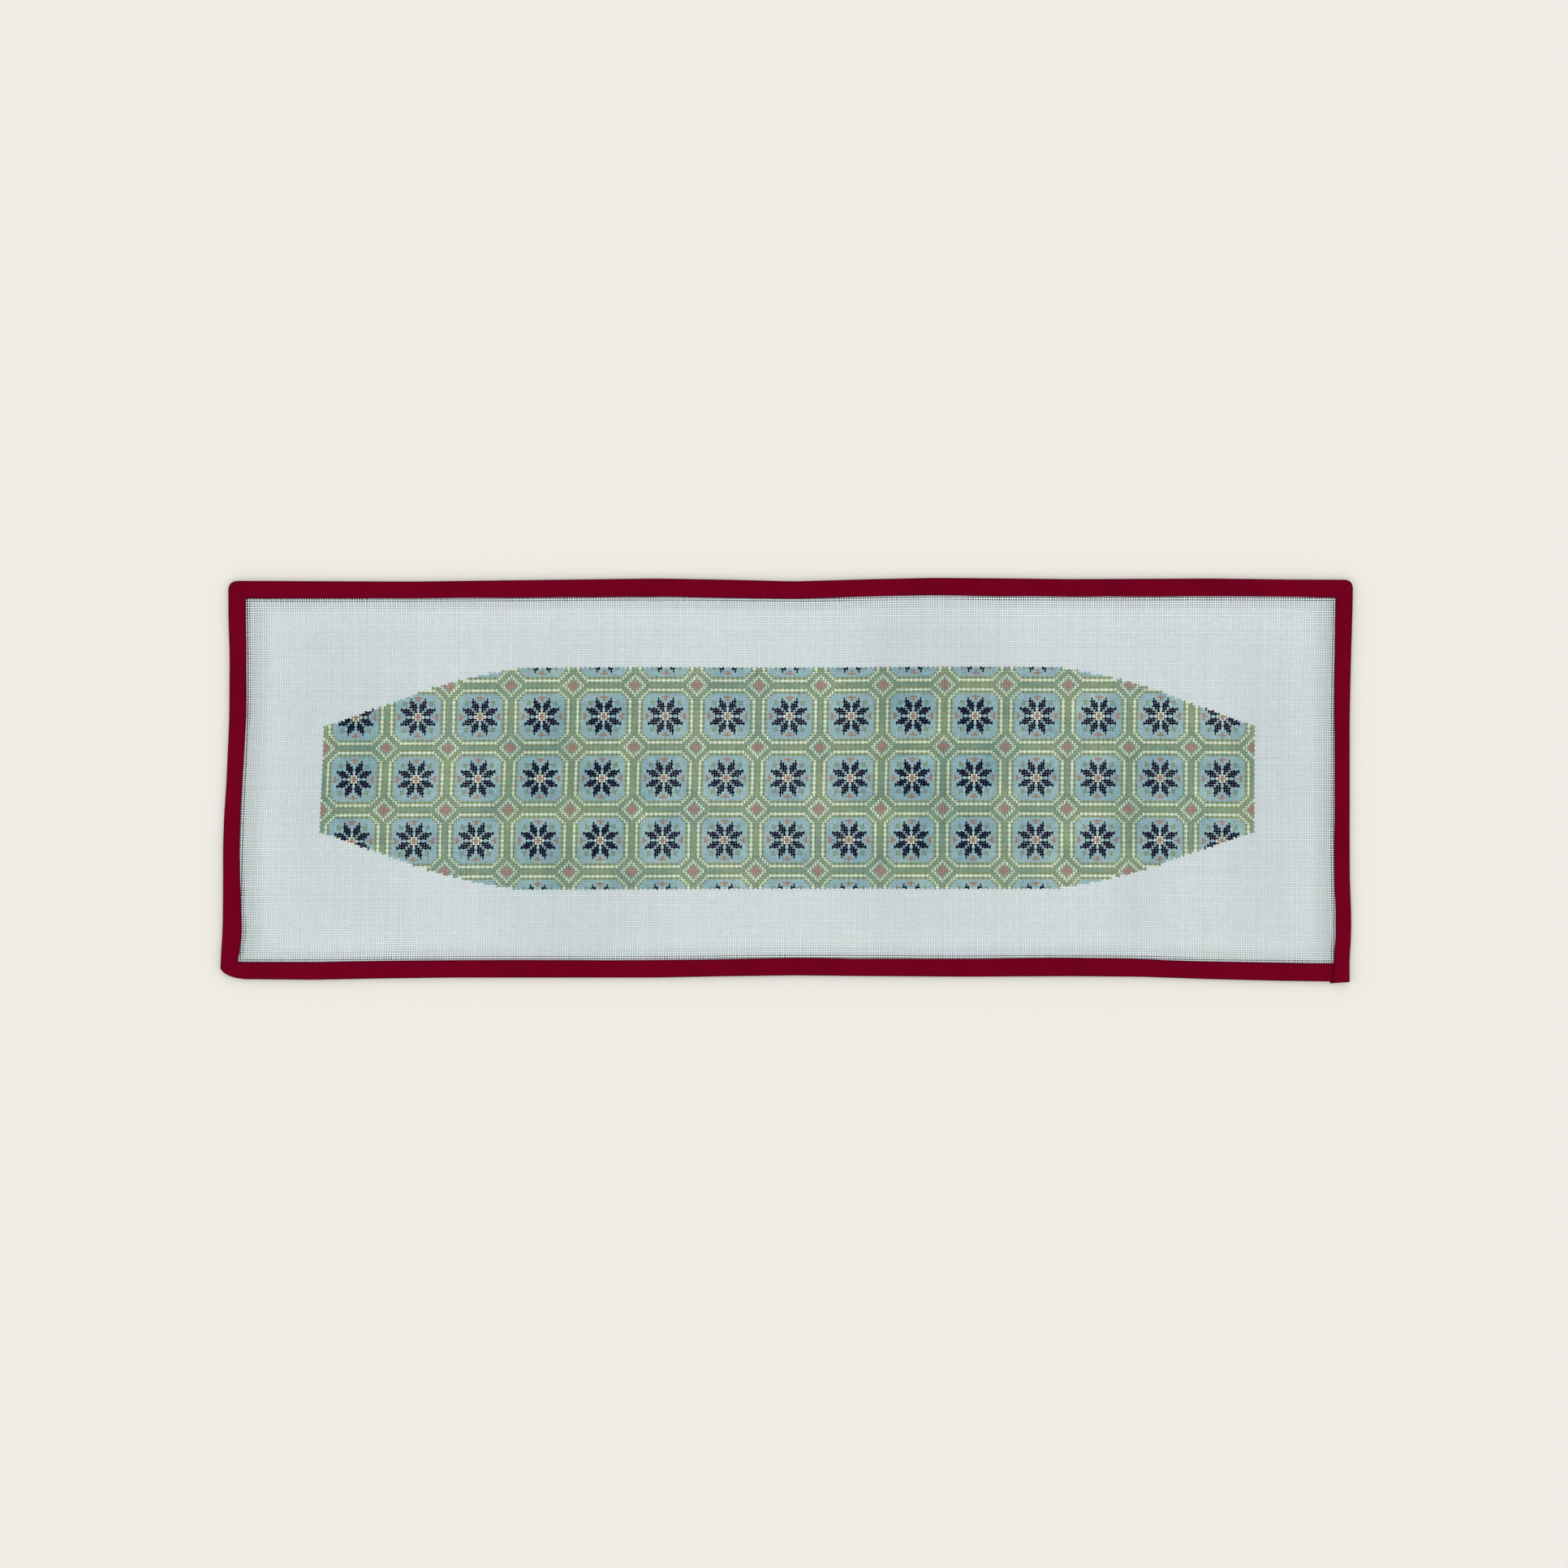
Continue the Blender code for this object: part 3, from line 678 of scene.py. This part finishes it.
tape_rng = np.random.default_rng(31)
sway_places = np.arange(0, LONGEST_TAPE, SWAY_STEP)
press_places = np.arange(0, LONGEST_TAPE, PRESS_STEP)
sway = np.interp(tape_length, sway_places, tape_rng.uniform(-1, 1, len(sway_places)))
press = np.interp(tape_length, press_places, tape_rng.uniform(-1, 1, len(press_places)))
across_unit = (tape_inner - tape_outer) / np.linalg.norm(tape_inner - tape_outer, axis=1)[:, None]
tape_inner = tape_inner + LIP_SWAY * sway[:, None] * across_unit
upper_rise = PRESS_UNEVENNESS * press + LAP_RISE * lap_share
for fold in folds:
    since_fold = tape_length - tape_length[fold]
    upper_rise += np.where(since_fold > 0, MITRE_RISE * (1 - smooth_step(since_fold / MITRE_FADE)), 0)
    before_fold = np.clip(-since_fold / MITRE_DIP_REACH, 0, 1)
    upper_rise -= np.where(since_fold <= 0, MITRE_DIP * (1 - before_fold), 0)


def tape_points():
    """Points of the tape's middle surface: at each station, its section between the two edges.

    A point lies its inwards distance across, and its height is the section's, plus the upper leg's rise
    and the lip's lift there. The start is squeezed and lifted to go inside the lap, and the lap's end
    closes to its middle height.
    """
    section = np.array(TAPE_SECTION)
    inwards, height, rises, lifts = section.T
    across = (inwards / TAPE_NOMINAL_WIDTH)[None, :, None]
    plan = tape_outer[:, None] + (tape_inner - tape_outer)[:, None] * across
    z = height + rises * upper_rise[:, None] + lifts * (LAP_LIP_LIFT * lap_share)[:, None]
    z = z * (1 - START_SQUEEZE * start_share)[:, None] + (START_LIFT * start_share)[:, None]
    z = LAP_MIDDLE_HEIGHT + (z - LAP_MIDDLE_HEIGHT) * end_scale[:, None]
    return np.concatenate([plan, z[..., None]], axis=-1)


# Where the tape's four runs lie on its flat map: in which of three bands, and where along it they start
MAP_BANDS = 3
RUN_BAND = np.array([0, 2, 1, 2])
RUN_START = np.array([0.01, 0.01, 0.01, 0.42])
LONGEST_RUN_ON_MAP = 0.97
BAND_MARGIN = 0.04


def tape_map(faces, ring_size, developed):
    """The tape's own flat map: its four runs in bands, with its length along the map and its width up it."""
    station = faces // ring_size
    share = (developed / developed[-1])[faces % ring_size]
    side = np.searchsorted(folds, station.min(axis=1) + 0.5)[:, None]
    side_start = tape_length[[0] + folds][side]
    run_share = (tape_length[station] - side_start) / tape_length[folds[0] + 1]
    along = RUN_START[side] + LONGEST_RUN_ON_MAP * run_share
    up = RUN_BAND[side] + BAND_MARGIN + (1 - 2 * BAND_MARGIN) * share
    return np.stack([along, up / MAP_BANDS], axis=-1)


CRIMSON = (0.135, 0.0002, 0.0116, 1)
THREAD_TURNS = 12500.0
# A painted shade darkens the tape's colour: how far it reaches in from the fold, and where it starts and how
# far it reaches at the lip.
FOLD_SHADE_REACH = 1.1
LIP_SHADE_START = 9.4
LIP_SHADE_REACH = 0.8


def tape_material():
    """Crimson cotton on the bias: its threads cross at 45 degrees to the tape, a little uneven in dye, with a
    painted shade darkening it at the fold and at the lip.
    """
    material, tree, shader = new_material("crimson_bias_tape", 0.9, 0.02)
    place = Tone.node(tree, "ShaderNodeTexCoord", {}, {}, "Object")
    cloth = Tone.node(tree, "ShaderNodeAttribute", {"attribute_name": "cloth_place"}, {}, "Vector")
    along = Tone.node(tree, "ShaderNodeSeparateXYZ", {}, {0: cloth}, "X")
    across = Tone.node(tree, "ShaderNodeSeparateXYZ", {}, {0: cloth}, "Y")
    edge = Tone.node(tree, "ShaderNodeSeparateXYZ", {}, {0: cloth}, "Z")
    warp_wave = ((along + across) * THREAD_TURNS).sine()
    weft_wave = ((along - across) * THREAD_TURNS).sine()
    weave = warp_wave * weft_wave
    dye = Tone.node(
        tree, "ShaderNodeTexNoise", {}, {"Vector": place, "Scale": 28.0, "Detail": 3.0, "Roughness": 0.6})
    fibre = Tone.node(
        tree, "ShaderNodeTexNoise", {}, {"Vector": place, "Scale": 900.0, "Detail": 3.0, "Roughness": 0.65})
    # Painted shade: the colour is darkened at the fold and at the lip by the third value of the cloth place.
    brightness = 0.72 + dye * 0.36 + fibre * 0.24 + weave * 0.05 - edge * 0.34
    crimson = Tone.node(tree, "ShaderNodeRGB", {}, {})
    crimson.socket.default_value = CRIMSON
    tree.links.new(crimson.tint(brightness).socket, shader.inputs["Base Color"])
    creases = Tone.node(
        tree, "ShaderNodeTexNoise", {}, {"Vector": cloth, "Scale": 240.0, "Detail": 2.0, "Distortion": 0.8})
    height = weave * 0.25 + fibre * 0.5 + creases * 1.6
    relief = Tone.node(
        tree, "ShaderNodeBump", {}, {"Height": height, "Strength": 0.4, "Distance": 0.0002})
    tree.links.new(relief.socket, shader.inputs["Normal"])
    return material


tape_finish = tape_material()
tape_grid = tape_points()
ring_size = tape_grid.shape[1]
sample_ring = tape_grid[stations // 4]
developed = np.concatenate([[0], np.cumsum(np.linalg.norm(np.diff(sample_ring, axis=0), axis=1))])
station, corner = np.meshgrid(np.arange(stations - 1), np.arange(ring_size - 1), indexing="ij")
here = (station * ring_size + corner).reshape(-1, 1)
tape_faces = here + [0, 1, ring_size + 1, ring_size]
tape_mesh = bpy.data.meshes.new("binding_tape")
fill_mesh(tape_mesh, tape_grid.reshape(-1, 3), tape_faces, np.empty((0, 3), dtype=int))
flat_map = tape_map(tape_faces, ring_size, developed).astype(np.float32)
tape_mesh.uv_layers.new(name="OFBake").data.foreach_set("uv", flat_map.reshape(-1))
inwards = np.array([row.inwards for row in TAPE_SECTION])
# The painted shade at the fold and at the lip, kept as the third value of each point's cloth place.
painted_fold_shade = np.clip(1 - inwards / FOLD_SHADE_REACH, 0, 1)
painted_edge_shade = painted_fold_shade + np.clip((inwards - LIP_SHADE_START) / LIP_SHADE_REACH, 0, 1)
cloth_place = np.empty((stations, ring_size, 3), dtype=np.float32)
cloth_place[..., 0] = tape_length[:, None] * MM
cloth_place[..., 1] = developed * MM
cloth_place[..., 2] = painted_edge_shade
layer = tape_mesh.attributes.new("cloth_place", "FLOAT_VECTOR", "POINT")
layer.data.foreach_set("vector", cloth_place.reshape(-1))
tape_mesh.materials.append(tape_finish)
tape = bpy.data.objects.new("binding_tape", tape_mesh)
bpy.context.scene.collection.objects.link(tape)
body = tape.modifiers.new("cloth", "SOLIDIFY")
body.thickness = TAPE_CLOTH * MM
body.offset = 0
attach(tape, "root")
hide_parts("binding")

# The stitching: one row of machine stitches a little in from the tape's lip, on the face and on the back,
# in crimson thread that sinks into the cotton, so that it hardly shows.
STITCH_PITCH = 2.8
STITCH_LENGTH = 2.1
STITCH_WIDTH = 0.36
STITCH_HEIGHT = 0.24
STITCH_ABOVE_CLOTH = 0.15
STITCH_SINK = 0.14
STITCH_TAPER = 2.4
STITCH_RINGS = np.array([-0.5, -0.2, 0.2, 0.5])
STITCH_CRIMSON = (0.135, 0.001, 0.014, 1)


def stitch_points(seam, up):
    """Points of a row of stitches along a seam: each is a thin three-sided spindle.

    Its rings run along the seam, thinner and lower towards both ends, where the thread goes into the
    cloth. Up is 1 on the tape's face and -1 on its back.
    """
    seam_length = np.concatenate([[0], np.cumsum(np.linalg.norm(np.diff(seam, axis=0), axis=1))])
    middles = np.arange(STITCH_PITCH, seam_length[-1] - STITCH_PITCH, STITCH_PITCH)
    places = middles[:, None] + STITCH_LENGTH * STITCH_RINGS
    centre = np.stack([np.interp(places, seam_length, seam[:, axis]) for axis in range(3)], axis=-1)
    along = centre[:, -1, :2] - centre[:, 0, :2]
    along = along / np.linalg.norm(along, axis=1)[:, None]
    side = np.column_stack([-along[:, 1], along[:, 0]])[:, None]
    size = 1 - STITCH_TAPER * STITCH_RINGS ** 2
    centre[..., 2] += up * (STITCH_ABOVE_CLOTH - STITCH_SINK * (2 * STITCH_RINGS) ** 2)
    points = np.empty(centre.shape[:2] + (3, 3))
    for corner, (across, rise) in enumerate([(-0.5, -0.5), (0.5, -0.5), (0.0, 0.5)]):
        points[..., corner, :2] = centre[..., :2] + side * (across * up * STITCH_WIDTH * size)[:, None]
        points[..., corner, 2] = centre[..., 2] + rise * up * STITCH_HEIGHT * size
    return points


seams = [(tape_grid[:, UPPER_SEAM], 1), (tape_grid[:, LOWER_SEAM], -1)]
stitch_grid = np.concatenate([stitch_points(seam, up) for seam, up in seams])
walls, ends = thread_faces(len(stitch_grid), stitch_grid.shape[1])
stitch_mesh = bpy.data.meshes.new("binding_stitches")
fill_mesh(stitch_mesh, stitch_grid.reshape(-1, 3), np.concatenate(walls), ends)
stitch_finish, stitch_tree, stitch_shader = new_material("crimson_sewing_thread", 0.7, 0.06)
stitch_shader.inputs["Base Color"].default_value = STITCH_CRIMSON
stitch_mesh.materials.append(stitch_finish)
mark_flat_back(stitch_mesh)
stitches = bpy.data.objects.new("binding_stitches", stitch_mesh)
bpy.context.scene.collection.objects.link(stitches)
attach(stitches, "root")
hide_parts("binding")

# The table top is plain pale off-white, lit as flat work is photographed: mostly even light from all round,
# and four soft lamps low on the four sides. The camera looks straight down from above.
PHOTO_SIDE = 1932
MM_PER_PIXEL = 0.48
CAMERA_HEIGHT = 2.6
PANEL_CENTRE_PIXEL = (969.2, 961.5)
TABLE_REACH = 3.0
TABLE_COLOUR = (0.716, 0.696, 0.652, 1)
EVEN_LIGHT = 0.925
floor_mesh = bpy.data.meshes.new("table")
table_corners = TABLE_REACH * np.array([(-1, -1, 0), (1, -1, 0), (1, 1, 0), (-1, 1, 0)])
floor_mesh.from_pydata(table_corners.tolist(), [], [(0, 1, 2, 3)])
table = bpy.data.objects.new("table", floor_mesh)
bpy.context.scene.collection.objects.link(table)
floor_finish, floor_tree, floor_shader = new_material("pale_table_top", 0.9, 0.1)
floor_shader.inputs["Base Color"].default_value = TABLE_COLOUR
floor_mesh.materials.append(floor_finish)

world = bpy.data.worlds.new("studio")
world.use_nodes = True
world.node_tree.nodes["Background"].inputs["Color"].default_value = (1.0, 1.0, 1.0, 1)
world.node_tree.nodes["Background"].inputs["Strength"].default_value = EVEN_LIGHT
bpy.context.scene.world = world
LAMP_DISTANCE = 1.9
LAMP_ELEVATION = np.radians(35)
LAMP_SIDE = 1.0
LAMPS = [(0, 4.6), (90, 5.0), (180, 4.9), (270, 4.7)]
for degrees, power in LAMPS:
    turn = np.radians(degrees)
    lamp = bpy.data.lights.new(f"soft_lamp_{degrees}", "AREA")
    lamp.shape = "SQUARE"
    lamp.size = LAMP_SIDE
    lamp.energy = power
    lamp_holder = bpy.data.objects.new(lamp.name, lamp)
    lamp_holder.location = LAMP_DISTANCE * np.array([
        np.cos(turn) * np.cos(LAMP_ELEVATION), np.sin(turn) * np.cos(LAMP_ELEVATION), np.sin(LAMP_ELEVATION)])
    lamp_holder.rotation_euler = (np.pi / 2 - LAMP_ELEVATION, 0, turn + np.pi / 2)
    bpy.context.scene.collection.objects.link(lamp_holder)

camera = bpy.data.cameras.new("above")
camera.lens = camera.sensor_width * CAMERA_HEIGHT / (PHOTO_SIDE * MM_PER_PIXEL * MM)
camera_holder = bpy.data.objects.new("above", camera)
camera_holder.location = (
    (PHOTO_SIDE / 2 - PANEL_CENTRE_PIXEL[0]) * MM_PER_PIXEL * MM,
    (PANEL_CENTRE_PIXEL[1] - PHOTO_SIDE / 2) * MM_PER_PIXEL * MM, CAMERA_HEIGHT)
bpy.context.scene.collection.objects.link(camera_holder)
bpy.context.scene.camera = camera_holder
bpy.context.scene.view_settings.view_transform = "Standard"
